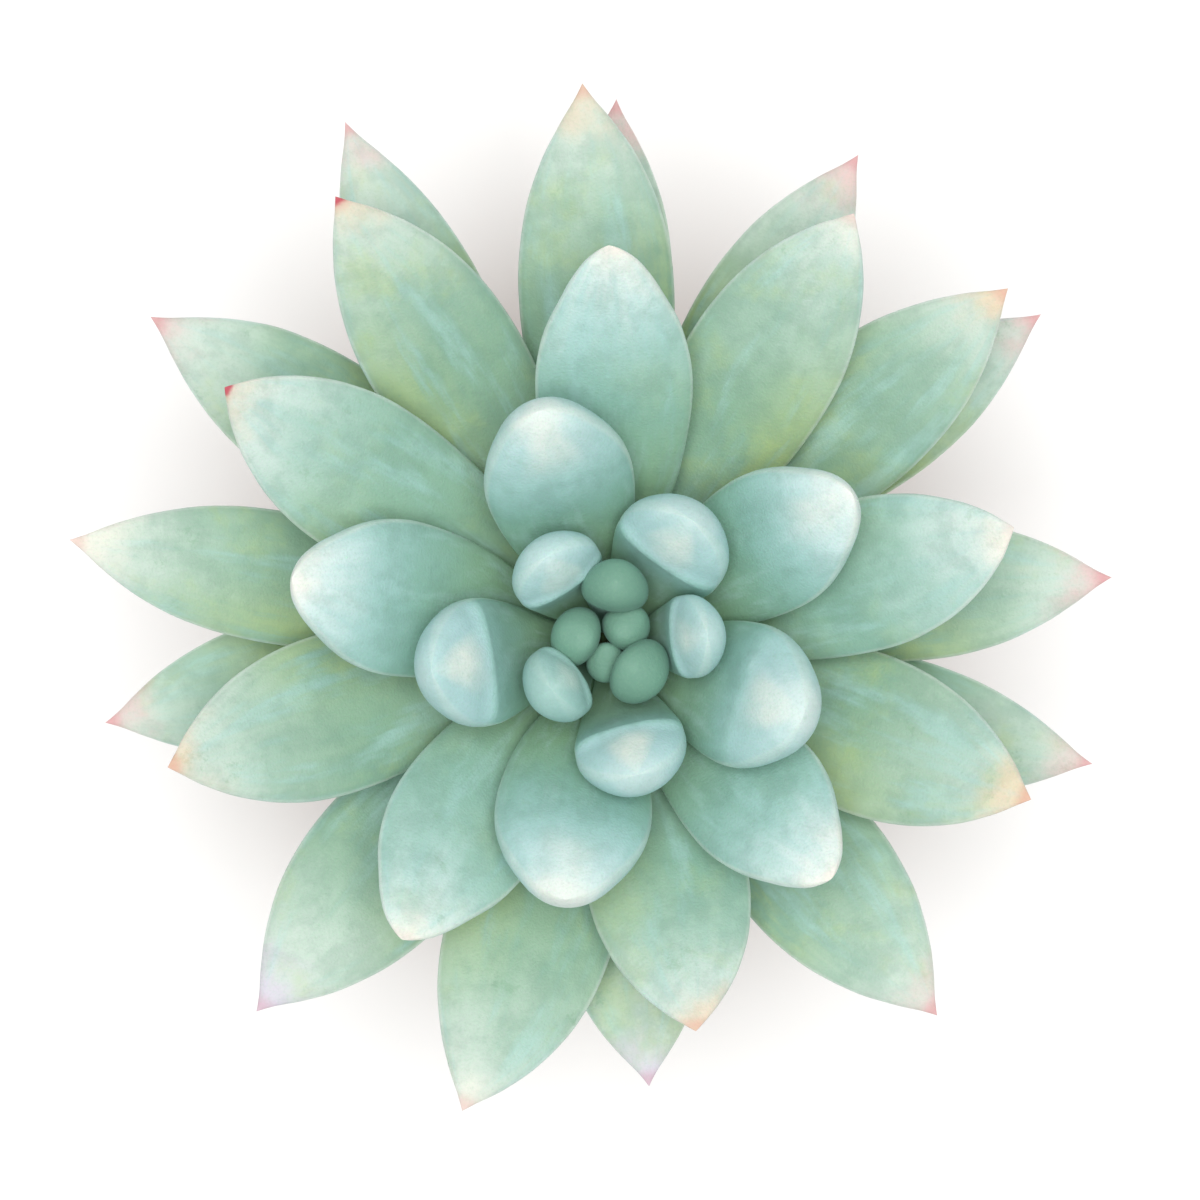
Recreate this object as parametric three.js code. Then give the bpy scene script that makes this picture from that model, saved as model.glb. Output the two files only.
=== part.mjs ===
// A rosette succulent with thick, pointed, blue-green leaves, growing from a short stem in a clay pot.
// Millimetres, +Z up. The pot stands on z = 0, and the origin is the middle of its foot.
import * as THREE from "three";

// Clay pot
const RIM_RADIUS = 40.5;
const POT_HEIGHT = 72;
const BAND_HEIGHT = 17; // the thicker collar round the mouth
const BAND_PROUD = 3.4; // how far the collar stands out from the body
const WALL = 4.2;
const FOOT_RADIUS = 27;
const FLOOR = 5;
const FLOOR_BEND = 3; // height over which the floor turns up into the wall
const DRAIN_RADIUS = 6.5;
const EDGE = 1.3; // rounding of the pot's edges
const POT_SIDES = 48;

// Soil
const FIT_GAP = 0.3; // between pieces that touch
const SOIL_BELOW_RIM = 10;
const SOIL_MOUND = 2.5; // how much higher the soil stands at the stem

// Stem
const STEM_RADIUS = 7;
const STEM_TIP_RADIUS = 0.5;
const STEM_BURIED = 20;
const STEM_SIDES = 20;
const STEM_ROWS = 14;
const NECK = 14; // bare stem between the soil and the lowest leaf
const LEAF_ZONE = 27; // length of stem that carries leaves
const LEAN = new THREE.Vector2(1.8, -7.8); // where the growing point stands, seen from above

// Leaves
const DIVERGENCE = 138.5; // degrees from one leaf to the next
const FIRST_TURN = 254.5; // direction of the youngest leaf, degrees from +X
const OLDEST = 43; // place of the lowest leaf on the spiral
const LEAF_GAP = 0.7; // between the stem and the middle of a leaf's foot
const LEAF_FACETS = { sides: 12, rings: 10 };
const BUD_FACETS = { sides: 8, rings: 6 }; // for leaves narrower than BUD_WIDTH
const BUD_WIDTH = 9;
const STEEPEST = 80; // degrees above level, for any stretch of a leaf
const STOUTEST = 2; // a leaf is at least this many times as long as it is wide
const FOOT_WIDTH = 0.3; // share of the full width
const FOOT_THICKNESS = 0.26; // share of the full thickness

// Each leaf from the youngest out: its place on the spiral, how many degrees its tip stands aside
// from the spiral, how far the tip is from the growing point, the leaf's width, and how many degrees
// it swings round sideways between foot and tip. Three old leaves have fallen.
const LEAVES = [
  { place: 0, aside: 10, reach: 1.6, width: 4.4, sway: 0 },
  { place: 1, aside: 15, reach: 4, width: 6, sway: 0 },
  { place: 2, aside: -14, reach: 5, width: 7.6, sway: 0 },
  { place: 3, aside: 15, reach: 5.4, width: 9.1, sway: 0 },
  { place: 4, aside: -6, reach: 9.8, width: 9.1, sway: 0 },
  { place: 5, aside: -11, reach: 9.5, width: 11.5, sway: 0 },
  { place: 6, aside: 3, reach: 14, width: 12, sway: 0 },
  { place: 7, aside: -21, reach: 15.4, width: 13.5, sway: 0 },
  { place: 8, aside: 1, reach: 16.7, width: 16, sway: 0 },
  { place: 9, aside: -4, reach: 20.5, width: 17, sway: 0 },
  { place: 10, aside: -13, reach: 24.3, width: 18.5, sway: 0 },
  { place: 11, aside: 3, reach: 28.7, width: 21, sway: 0 },
  { place: 12, aside: -10.5, reach: 34.5, width: 21.5, sway: 0 },
  { place: 13, aside: 6, reach: 35, width: 22.5, sway: -12 },
  { place: 14, aside: -1, reach: 40.3, width: 20.5, sway: 0 },
  { place: 15, aside: -5, reach: 44.8, width: 22.5, sway: 0 },
  { place: 16, aside: 4, reach: 44.5, width: 21, sway: 0 },
  { place: 17, aside: 1, reach: 56, width: 22.5, sway: -10 },
  { place: 18, aside: 7.5, reach: 49.5, width: 22.5, sway: -17 },
  { place: 19, aside: 11, reach: 59, width: 22, sway: -12 },
  { place: 20, aside: 1, reach: 64.5, width: 23, sway: 0 },
  { place: 21, aside: 0, reach: 55, width: 23.5, sway: 8 },
  { place: 22, aside: -1, reach: 70, width: 22.5, sway: 0 },
  { place: 23, aside: -5, reach: 64, width: 23.5, sway: 0 },
  { place: 24, aside: 2, reach: 63.5, width: 23.5, sway: 0 },
  { place: 25, aside: 4, reach: 74.5, width: 22.5, sway: -8 },
  { place: 26, aside: -3, reach: 68.5, width: 24.5, sway: 17 },
  { place: 27, aside: 8, reach: 76.5, width: 21.5, sway: -4 },
  { place: 28, aside: -4, reach: 78, width: 19.5, sway: 5 },
  { place: 29, aside: 1, reach: 70.5, width: 23, sway: 0 },
  { place: 30, aside: 3, reach: 81, width: 23, sway: -7 },
  { place: 31, aside: -2, reach: 72.5, width: 24, sway: 0 },
  { place: 32, aside: 1.5, reach: 73.5, width: 20.5, sway: 2 },
  { place: 33, aside: -1, reach: 81.5, width: 21, sway: -6 },
  { place: 34, aside: -8, reach: 64, width: 22.5, sway: 0 },
  { place: 35, aside: 1, reach: 80.5, width: 19.5, sway: 6 },
  { place: 36, aside: -12, reach: 74, width: 20, sway: 0 },
  { place: 37, aside: 7.5, reach: 73, width: 19, sway: -14 },
  { place: 38, aside: -1, reach: 86, width: 18.5, sway: 12 },
  { place: 40, aside: 3, reach: 80.5, width: 19, sway: 0 },
  { place: 43, aside: -1, reach: 81, width: 19, sway: 0 },
];

const radians = THREE.MathUtils.degToRad;
const { lerp, smoothstep, clamp } = THREE.MathUtils;
const soilTop = POT_HEIGHT - SOIL_BELOW_RIM;
const lowestLeaf = soilTop + NECK;
const growingPoint = lowestLeaf + LEAF_ZONE;

const CLAY = new THREE.MeshStandardMaterial({ color: 0xb5683f, roughness: 0.85, metalness: 0 });
const EARTH = new THREE.MeshStandardMaterial({ color: 0x3a2a1e, roughness: 1, metalness: 0 });
const BARK = new THREE.MeshStandardMaterial({ color: 0x8a8a62, roughness: 0.8, metalness: 0 });
const LEAF = new THREE.MeshStandardMaterial({ color: 0x9fc8b4, roughness: 0.6, metalness: 0 });

const plant = new THREE.Group();

function addPiece(name, geometry, material) {
  const mesh = new THREE.Mesh(geometry, material);
  mesh.name = name;
  plant.add(mesh);
}

// Turns a profile of [radius, height] pairs about Z.
function turned(profile, sides) {
  const points = profile.map(([radius, height]) => new THREE.Vector2(radius, height));
  return new THREE.LatheGeometry(points, sides).rotateX(Math.PI / 2);
}

// The pot's inside widens evenly from the floor to the mouth.
function innerRadius(height) {
  const atFloor = FOOT_RADIUS - WALL;
  const atMouth = RIM_RADIUS - BAND_PROUD - WALL + 0.8;
  return lerp(atFloor, atMouth, (height - FLOOR) / (POT_HEIGHT - FLOOR));
}

// The pot: a foot with a drain hole, a tapered body and a thicker collar round the mouth.
function potGeometry() {
  const bandBottom = POT_HEIGHT - BAND_HEIGHT;
  const mouth = innerRadius(POT_HEIGHT);
  return turned([
    [DRAIN_RADIUS, 0],
    [FOOT_RADIUS - EDGE, 0],
    [FOOT_RADIUS, EDGE],
    [RIM_RADIUS - BAND_PROUD, bandBottom],
    [RIM_RADIUS - EDGE, bandBottom + EDGE / 3],
    [RIM_RADIUS - EDGE / 3, bandBottom + EDGE * 1.3],
    [RIM_RADIUS, POT_HEIGHT - EDGE],
    [RIM_RADIUS - EDGE, POT_HEIGHT],
    [mouth + EDGE, POT_HEIGHT],
    [mouth, POT_HEIGHT - EDGE],
    [innerRadius(FLOOR + FLOOR_BEND), FLOOR + FLOOR_BEND],
    [innerRadius(FLOOR) - 2, FLOOR],
    [DRAIN_RADIUS, FLOOR],
    [DRAIN_RADIUS, 0],
  ], POT_SIDES);
}

// The soil fills the pot, mounds up a little at the stem, and has a socket where the stem goes in.
function soilGeometry() {
  const socket = STEM_RADIUS + FIT_GAP;
  const socketFloor = soilTop - STEM_BURIED - FIT_GAP;
  const reachAt = (height) => innerRadius(height) - FIT_GAP;
  return turned([
    [0, FLOOR + FIT_GAP],
    [reachAt(FLOOR) - 2.2, FLOOR + FIT_GAP],
    [reachAt(FLOOR + FLOOR_BEND), FLOOR + FLOOR_BEND],
    [reachAt(soilTop - 1), soilTop - 1],
    [reachAt(soilTop) - 2, soilTop],
    [lerp(socket, reachAt(soilTop), 0.45), soilTop + SOIL_MOUND * 0.6],
    [socket + 2, soilTop + SOIL_MOUND],
    [socket, soilTop + SOIL_MOUND - 0.5],
    [socket, socketFloor],
    [0, socketFloor],
  ], POT_SIDES);
}

// The stem stands upright in the soil, and above it leans over to the growing point.
function stemCentre(height) {
  const share = clamp((height - soilTop) / (growingPoint - soilTop), 0, 1);
  return LEAN.clone().multiplyScalar(smoothstep(share, 0, 1));
}

function stemRadius(height) {
  const up = clamp((height - lowestLeaf) / LEAF_ZONE, 0, 1);
  return lerp(STEM_RADIUS, STEM_TIP_RADIUS, up ** 1.8);
}

function stemGeometry() {
  const bottom = soilTop - STEM_BURIED;
  const outline = [[0, bottom]];
  for (let row = 0; row <= STEM_ROWS; row += 1) {
    const height = lerp(bottom, growingPoint, row / STEM_ROWS);
    outline.push([row === 0 ? STEM_RADIUS * 0.7 : stemRadius(height), height]);
  }
  outline.push([0, growingPoint + STEM_TIP_RADIUS]);
  const stem = turned(outline, STEM_SIDES);
  const at = stem.attributes.position;
  for (let i = 0; i < at.count; i += 1) {
    const centre = stemCentre(at.getZ(i));
    at.setXY(i, at.getX(i) + centre.x, at.getY(i) + centre.y);
  }
  return stem;
}

// How leaves change with age, from 0 at the growing point to 1 at the lowest leaf. A young leaf is a
// club, thick to near its blunt end. An old one is a flatter, pointed blade.
const heightAt = (age) => growingPoint - LEAF_ZONE * age ** 0.8;
const elevationAt = (age) => 8 + 78 * (1 - age) ** 1.7; // degrees above level
const curlAt = (age) => 8 + 32 * (1 - age) ** 2; // degrees that the leaf bends upwards
const youthAt = (age) => 1 - smoothstep(age, 0.12, 0.45);
const bluntAt = (age) => 1 - smoothstep(age, 0.16, 0.3);
const thicknessAt = (age) => // share of the width
  lerp(0.345, 0.58, youthAt(age)) + 0.065 * smoothstep(age, 0.5, 0.8);
const edgeAt = (age) => lerp(1.15, 0.9, smoothstep(age, 0.45, 0.8)); // above 1 the edges are sharper

// Share of the full width along a leaf: a narrow foot, widest past the middle, then a blunt point.
function widthShare(along, age) {
  const youth = youthAt(age);
  const widest = lerp(0.57, 0.68, bluntAt(age));
  if (along < widest) return lerp(FOOT_WIDTH, 1, Math.sin((Math.PI / 2) * (along / widest)) ** 1.2);
  return (1 - ((along - widest) / (1 - widest)) ** 2.1) ** lerp(0.85, 0.65, youth);
}

function thicknessShare(along, youth) {
  const thickest = lerp(0.66, 0.82, youth);
  if (along < thickest) {
    return lerp(FOOT_THICKNESS, 1, Math.sin((Math.PI / 2) * (along / thickest)) ** lerp(1.2, 1.8, youth));
  }
  return (1 - ((along - thickest) / (1 - thickest)) ** 2.4) ** lerp(0.75, 0.55, youth);
}

// Where a leaf's foot sits against the stem, which way its tip lies, and how far.
function leafStance({ place, aside, reach }, age) {
  const height = heightAt(age);
  const centre = stemCentre(height);
  const turn = radians(FIRST_TURN + DIVERGENCE * place + aside);
  const tip = new THREE.Vector2(reach, 0).rotateAround(new THREE.Vector2(), turn).add(LEAN).sub(centre);
  const out = stemRadius(height) + LEAF_GAP;
  const foot = tip.clone().setLength(out).add(centre);
  return { foot: new THREE.Vector3(foot.x, foot.y, height), heading: tip.angle(), span: tip.length() - out };
}

// The direction that is turned that far from +X and rises that far above level.
function direction(turn, rise) {
  return new THREE.Vector3(1, 0, 0).applyEuler(new THREE.Euler(0, -rise, turn, "ZYX"));
}

// A leaf's centre line for a length of 1: points, and the way it heads and rises at each.
function unitSpine(heading, sway, elevation, curl) {
  const steps = 40;
  const spine = [{ at: new THREE.Vector3(), turn: heading + sway / 2, rise: elevation - curl / 2 }];
  for (let step = 1; step <= steps; step += 1) {
    const fromMiddle = (step - 0.5) / steps - 0.5;
    const turn = heading - sway * fromMiddle;
    const rise = Math.min(elevation + curl * fromMiddle, radians(STEEPEST));
    const at = spine[step - 1].at.clone().addScaledVector(direction(turn, rise), 1 / steps);
    spine.push({ at, turn, rise });
  }
  return spine;
}

// Rings stand closer together towards the tip. The first and last are the closed ends.
function ringPlace(ring, rings) {
  return Math.sin((Math.PI / 2) * (Math.max(ring - 1, 0) / (rings - 1))) ** 1.1;
}

const POLE = { across: 0, up: 0 };

// A point of the leaf's section, across and upwards, for a width of 2 and a thickness of 1.
function sectionPoint(along, angle, age) {
  const youth = youthAt(age);
  const upper = lerp(0.32, 0.46, youth); // share of the thickness above the centre line
  const side = Math.sin(angle) >= 0 ? upper : upper - 1;
  return {
    across: -Math.cos(angle) * widthShare(along, age),
    up: side * Math.abs(Math.sin(angle)) ** edgeAt(age) * thicknessShare(along, youth),
  };
}

function leafGeometry(leaf) {
  const age = leaf.place / OLDEST;
  const { foot, heading, span } = leafStance(leaf, age);
  const spine = unitSpine(heading, radians(leaf.sway), radians(elevationAt(age)), radians(curlAt(age)));
  const end = spine[spine.length - 1].at;
  const length = Math.max(span / Math.hypot(end.x, end.y), leaf.width * STOUTEST);
  const { sides, rings } = leaf.width < BUD_WIDTH ? BUD_FACETS : LEAF_FACETS;
  const body = new THREE.SphereGeometry(1, sides, rings);
  const at = body.attributes.position;
  const uv = body.attributes.uv;
  for (let i = 0; i < at.count; i += 1) {
    const ring = Math.round((1 - uv.getY(i)) * rings);
    const along = ringPlace(ring, rings);
    const isPole = ring === 0 || ring === rings;
    const { across, up } = isPole ? POLE : sectionPoint(along, 2 * Math.PI * uv.getX(i), age);
    const step = spine[Math.round(along * (spine.length - 1))];
    const side = direction(step.turn + Math.PI / 2, 0);
    const run = direction(step.turn, step.rise);
    const point = foot.clone()
      .addScaledVector(step.at, length)
      .addScaledVector(side, across * leaf.width / 2)
      .addScaledVector(run.cross(side), up * leaf.width * thicknessAt(age));
    at.setXYZ(i, point.x, point.y, point.z);
  }
  return body;
}

addPiece("pot", potGeometry(), CLAY);
addPiece("soil", soilGeometry(), EARTH);
addPiece("stem", stemGeometry(), BARK);
LEAVES.forEach((leaf, i) => {
  addPiece(`leaf_${String(i + 1).padStart(2, "0")}`, leafGeometry(leaf), LEAF);
});

export default plant;
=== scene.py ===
# A blue-green rosette succulent with thick, waxy, pointed leaves, in a plain clay pot.
# Metres, +Z up. Each section makes one piece or one kind of piece, in the order in which the real
# thing is put together.
import math
import random

import bmesh
import bpy
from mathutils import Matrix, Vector


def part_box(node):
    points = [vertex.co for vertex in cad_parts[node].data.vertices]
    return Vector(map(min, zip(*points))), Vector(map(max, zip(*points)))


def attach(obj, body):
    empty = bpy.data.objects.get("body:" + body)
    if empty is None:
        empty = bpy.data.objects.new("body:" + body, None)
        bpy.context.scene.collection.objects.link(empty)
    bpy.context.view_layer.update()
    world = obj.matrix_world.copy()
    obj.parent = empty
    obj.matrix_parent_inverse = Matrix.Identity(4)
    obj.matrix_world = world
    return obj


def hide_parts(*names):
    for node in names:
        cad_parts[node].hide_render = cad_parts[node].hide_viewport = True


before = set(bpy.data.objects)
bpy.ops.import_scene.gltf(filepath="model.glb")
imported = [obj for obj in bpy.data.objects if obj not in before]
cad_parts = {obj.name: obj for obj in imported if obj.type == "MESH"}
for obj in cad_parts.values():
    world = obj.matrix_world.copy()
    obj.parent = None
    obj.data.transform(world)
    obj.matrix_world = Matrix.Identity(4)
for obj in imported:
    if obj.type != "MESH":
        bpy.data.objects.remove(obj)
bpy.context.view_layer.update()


# ---- Camera ---------------------------------------------------------------------------------------------
# The camera hangs straight over the plant and looks down the stem, so that the rosette is seen face on.
# Up in the view is +Y. It is far enough away that the leaves keep their true proportions.
CAMERA_OVER = (0.0008, -0.0008)
CAMERA_ABOVE_ROSETTE = 0.6
CAMERA_LENS = 124

rosette_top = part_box("stem")[1].z
camera = bpy.data.objects.new("camera", bpy.data.cameras.new("camera"))
camera.data.lens = CAMERA_LENS
camera.location = (*CAMERA_OVER, rosette_top + CAMERA_ABOVE_ROSETTE)
bpy.context.scene.collection.objects.link(camera)
bpy.context.scene.camera = camera


# ---- Pot ------------------------------------------------------------------------------------------------
# An unglazed terracotta pot, thrown on a wheel: a tapered body, a thick collar round the mouth, and a
# drain hole in the foot. Hard water has left pale salts low on the wall and round the collar's edge.
POT_SIDES = 144
POT_CLAY = (0.462, 0.138, 0.05)
POT_CLAY_PALE = (0.62, 0.27, 0.13)
POT_CLAY_DARK = (0.24, 0.068, 0.028)
POT_SALTS = (0.66, 0.55, 0.45)
WHEEL_RING_PITCH = 0.0021
WHEEL_RING_DEPTH = 0.00009
POT_WOBBLE = 0.00035
POT_OUTLINE_STEP = 0.0006
POT_RELIEF = 0.00022
DAMP_BAND = (0.004, 0.02)
SALTS_FROM = (0.006, 0.016)
SALTS_UNTIL = (0.02, 0.034)
COLLAR_EDGE = (0.0685, 0.0715)
FLAT_FOOT = (0.0005, 0.003)
WELD_DISTANCE = 1e-6


class Wire:
    """A node's output that can stand in a sum, so that wire * 2 + other makes the Math nodes for it."""

    def __init__(self, socket):
        self.socket = socket
        self.tree = socket.id_data

    def math(self, operation, *others):
        node = self.tree.nodes.new("ShaderNodeMath")
        node.operation = operation
        for i, value in enumerate((self, *others)):
            plug(self.tree, node.inputs[i], value)
        return Wire(node.outputs[0])

    def __add__(self, other):
        return self.math("ADD", other)

    def __sub__(self, other):
        return self.math("SUBTRACT", other)

    def __mul__(self, other):
        return self.math("MULTIPLY", other)

    def __truediv__(self, other):
        return self.math("DIVIDE", other)

    def __pow__(self, other):
        return self.math("POWER", other)

    def __rsub__(self, other):
        return self.math("MULTIPLY_ADD", -1.0, other)

    __radd__ = __add__
    __rmul__ = __mul__

    def smooth(self, low, high):
        """0 below low, 1 above high, and an even curve between them."""
        node = self.tree.nodes.new("ShaderNodeMapRange")
        node.interpolation_type = "SMOOTHSTEP"
        for name, value in (("Value", self), ("From Min", low), ("From Max", high)):
            plug(self.tree, node.inputs[name], value)
        return Wire(node.outputs["Result"])


def plug(tree, socket, value):
    """Links a wire to a socket, or sets the socket to a fixed value."""
    if isinstance(value, Wire):
        tree.links.new(value.socket, socket)
    elif socket.type == "RGBA":
        socket.default_value = (*value[:3], 1)
    else:
        socket.default_value = value


def add(tree, kind, inputs=None, out=0, **settings):
    """Adds a node with its settings and inputs, and gives back one of its outputs as a wire."""
    node = tree.nodes.new(kind)
    for name, value in settings.items():
        setattr(node, name, value)
    for name, value in (inputs or {}).items():
        plug(tree, node.inputs[name], value)
    return Wire(node.outputs[out])


def mixed(tree, share, first, second):
    """A colour share of the way from the first to the second."""
    return add(tree, "ShaderNodeMix", {0: share, 6: first, 7: second}, out=2, data_type="RGBA")


def noise(tree, place, scale, detail=3.0, roughness=0.5, stretch=None):
    """Soft random patches, from 0 to 1. Scale is how many there are in a metre."""
    if stretch is not None:
        place = add(tree, "ShaderNodeVectorMath", {0: place, 1: stretch}, operation="MULTIPLY")
    return add(tree, "ShaderNodeTexNoise", {
        "Vector": place, "Scale": scale, "Detail": detail, "Roughness": roughness})


def surface_group(name, inputs, outputs):
    """An empty shader node group with named inputs and outputs."""
    tree = bpy.data.node_groups.new(name, "ShaderNodeTree")
    for label, kind, value in inputs:
        socket = tree.interface.new_socket(label, in_out="INPUT", socket_type=f"NodeSocket{kind}")
        socket.default_value = value
    for label, kind in outputs:
        tree.interface.new_socket(label, in_out="OUTPUT", socket_type=f"NodeSocket{kind}")
    entry = tree.nodes.new("NodeGroupInput")
    return tree, {socket.name: Wire(socket) for socket in entry.outputs if socket.name}


def put_out(tree, values):
    """Joins the wires to the group's outputs."""
    leave = tree.nodes.new("NodeGroupOutput")
    for label, value in values.items():
        plug(tree, leave.inputs[label], value)


def new_surface(name, **constants):
    """A material with a Principled shader, whose even values are set on the shader's own sockets."""
    material = bpy.data.materials.new(name)
    material.use_nodes = True
    tree = material.node_tree
    shader = tree.nodes["Principled BSDF"]
    for label, value in constants.items():
        plug(tree, shader.inputs[label.replace("_", " ").title()], value)
    place = add(tree, "ShaderNodeTexCoord", out="Object")
    return material, tree, shader, place


def bumped(tree, shader, height, distance):
    """Gives the surface a fine relief, as deep as the distance."""
    normal = add(tree, "ShaderNodeBump", {"Height": height, "Distance": distance, "Strength": 1.0})
    plug(tree, shader.inputs["Normal"], normal)


def grain_group():
    """Fine grain that several of the pieces share: a patchy mask, and a height for the bump."""
    tree, wire = surface_group(
        "grain",
        [("Place", "Vector", (0, 0, 0)), ("Patches", "Float", 60), ("Grains", "Float", 900)],
        [("Patchy", "Float"), ("Height", "Float")],
    )
    broad = noise(tree, wire["Place"], wire["Patches"], detail=5, roughness=0.6)
    fine = noise(tree, wire["Place"], wire["Grains"], detail=2)
    put_out(tree, {"Patchy": broad.smooth(0.35, 0.68), "Height": fine * 0.6 + broad * 0.4})
    return tree


grain = grain_group()


def grain_wires(tree, place, patches, grains):
    """The shared grain, placed in one material: its patches and its height."""
    node = tree.nodes.new("ShaderNodeGroup")
    node.node_tree = grain
    plug(tree, node.inputs["Place"], place)
    plug(tree, node.inputs["Patches"], patches)
    plug(tree, node.inputs["Grains"], grains)
    return Wire(node.outputs["Patchy"]), Wire(node.outputs["Height"])


def height_in(tree, place):
    """How high a place is."""
    return add(tree, "ShaderNodeSeparateXYZ", {0: place}, out="Z")


def terracotta():
    """Fired clay in uneven shades, streaked, damp and salty low down, and dotted with pores."""
    material, tree, shader, place = new_surface("terracotta", roughness=0.9)
    patchy, rough = grain_wires(tree, place, 45, 1400)
    level = height_in(tree, place)
    colour = mixed(tree, patchy, POT_CLAY, POT_CLAY_PALE)
    streaks = noise(tree, place, 60, detail=4, stretch=(1, 1, 0.12))
    colour = mixed(tree, streaks.smooth(0.55, 0.8) * 0.45, colour, POT_CLAY_DARK)
    low_damp = 1 - level.smooth(*DAMP_BAND)
    low_salts = level.smooth(*SALTS_FROM) * (1 - level.smooth(*SALTS_UNTIL))
    blooms = noise(tree, place, 90, detail=6, roughness=0.7).smooth(0.46, 0.62)
    lip = level.smooth(*COLLAR_EDGE)
    colour = mixed(tree, low_damp * 0.4, colour, POT_CLAY_DARK)
    colour = mixed(tree, (low_salts * 0.75 + lip * 0.5 + 0.06) * blooms, colour, POT_SALTS)
    pores = noise(tree, place, 2600, detail=1).smooth(0.28, 0.36)
    colour = mixed(tree, 1 - pores, colour, POT_CLAY_DARK)
    plug(tree, shader.inputs["Base Color"], colour)
    plug(tree, shader.inputs["Roughness"], 0.78 + 0.18 * blooms)
    bumped(tree, shader, rough * 0.7 + pores * 0.5, POT_RELIEF)
    return material


def shape_tree(name, sizes):
    """An empty Geometry Nodes tree with named inputs. Gives the tree and a wire for each input."""
    tree = bpy.data.node_groups.new(name, "GeometryNodeTree")
    tree.interface.new_socket("Geometry", in_out="INPUT", socket_type="NodeSocketGeometry")
    for label, kind in sizes.items():
        tree.interface.new_socket(label, in_out="INPUT", socket_type=f"NodeSocket{kind}")
    tree.interface.new_socket("Geometry", in_out="OUTPUT", socket_type="NodeSocketGeometry")
    entry = tree.nodes.new("NodeGroupInput")
    return tree, {socket.name: Wire(socket) for socket in entry.outputs if socket.name}


def close_tree(tree, geometry, surface):
    """Ends a tree: copies made real, then the material."""
    geometry = add(tree, "GeometryNodeRealizeInstances", {"Geometry": geometry})
    geometry = add(tree, "GeometryNodeSetMaterial", {"Geometry": geometry, "Material": surface})
    plug(tree, tree.nodes.new("NodeGroupOutput").inputs["Geometry"], geometry)


def attribute(tree, name, kind="FLOAT"):
    """A value stored on the points, read in a shape tree."""
    return add(tree, "GeometryNodeInputNamedAttribute", {"Name": name}, data_type=kind)


def keep(tree, geometry, name, value, kind="FLOAT"):
    """Stores a value on every point, for the tree or the material to read."""
    return add(tree, "GeometryNodeStoreNamedAttribute", {
        "Geometry": geometry, "Name": name, "Value": value}, data_type=kind, domain="POINT")


def shifted(tree, place, *moves):
    """A place moved by each (direction, distance) in turn."""
    for direction, distance in moves:
        step = add(tree, "ShaderNodeVectorMath", {0: direction, "Scale": distance}, operation="SCALE")
        place = add(tree, "ShaderNodeVectorMath", {0: place, 1: step}, operation="ADD")
    return place


def grown(name, mesh, tree, **sizes):
    """Runs a mesh through a tree and gives back the result as a plain piece."""
    piece = bpy.data.objects.new(name, mesh)
    bpy.context.scene.collection.objects.link(piece)
    modifier = piece.modifiers.new(tree.name, "NODES")
    modifier.node_group = tree
    for item in tree.interface.items_tree:
        label = item.name.lower().replace(" ", "_")
        if item.in_out == "INPUT" and label in sizes:
            modifier[item.identifier] = sizes[label]
    depsgraph = bpy.context.evaluated_depsgraph_get()
    plain = bpy.data.meshes.new_from_object(
        piece.evaluated_get(depsgraph), preserve_all_data_layers=True, depsgraph=depsgraph)
    piece.modifiers.clear()
    piece.data = plain
    plain.name = name
    return piece


def settle(piece, slot, *nodes):
    """The piece stands for these CAD nodes, and moves with the whole plant."""
    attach(piece, "root")
    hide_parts(*nodes)


def welded(node):
    """A CAD node's mesh with its loose triangles joined."""
    shape = bmesh.new()
    shape.from_mesh(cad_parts[node].data)
    bmesh.ops.remove_doubles(shape, verts=shape.verts, dist=WELD_DISTANCE)
    shape.verts.index_update()
    return shape


def turned_mesh(name, profile, sides):
    """Turns an outline of (radius, height) points about Z. A radius of 0 is a pole."""
    shape = bmesh.new()
    rings = []
    for radius, height in profile:
        count = sides if radius > 0 else 1
        corners = [2 * math.pi * i / sides for i in range(count)]
        places = [(radius * math.cos(a), radius * math.sin(a), height) for a in corners]
        rings.append([shape.verts.new(place) for place in places])
    for lower, upper in zip(rings, rings[1:] + rings[:1]):
        for i in range(sides):
            j = (i + 1) % sides
            corners = [lower[i % len(lower)], lower[j % len(lower)],
                       upper[j % len(upper)], upper[i % len(upper)]]
            corners = list(dict.fromkeys(corners))
            if len(corners) > 2:
                shape.faces.new(corners)
    bmesh.ops.recalc_face_normals(shape, faces=shape.faces)
    for face in shape.faces:
        face.smooth = True
    mesh = bpy.data.meshes.new(name)
    shape.to_mesh(mesh)
    shape.free()
    return mesh


def cad_profile(node):
    """The (radius, height) points of a turned CAD node, in order along one cut through it."""
    shape = welded(node)
    cut = [v for v in shape.verts if abs(v.co.y) < 1e-5 and v.co.x > -1e-5]
    path = [min(cut, key=lambda v: (v.co.z, v.co.x))]
    while len(path) < len(cut):
        near = [e.other_vert(path[-1]) for e in path[-1].link_edges]
        onward = [v for v in near if v in cut and v not in path]
        if not onward:
            break
        path.append(max(onward, key=lambda v: v.co.x if len(path) == 1 else 0))
    return [(v.co.x, v.co.z) for v in path]


def finely(profile, longest, closed=True):
    """The same outline with no step longer than the longest. An open one runs from pole to pole."""
    points = []
    for (r0, z0), (r1, z1) in zip(profile, profile[1:] + profile[:closed]):
        steps = max(1, math.ceil(math.hypot(r1 - r0, z1 - z0) / longest))
        points += [(r0 + (r1 - r0) * i / steps, z0 + (z1 - z0) * i / steps) for i in range(steps)]
    return points if closed else points + profile[-1:]


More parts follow.
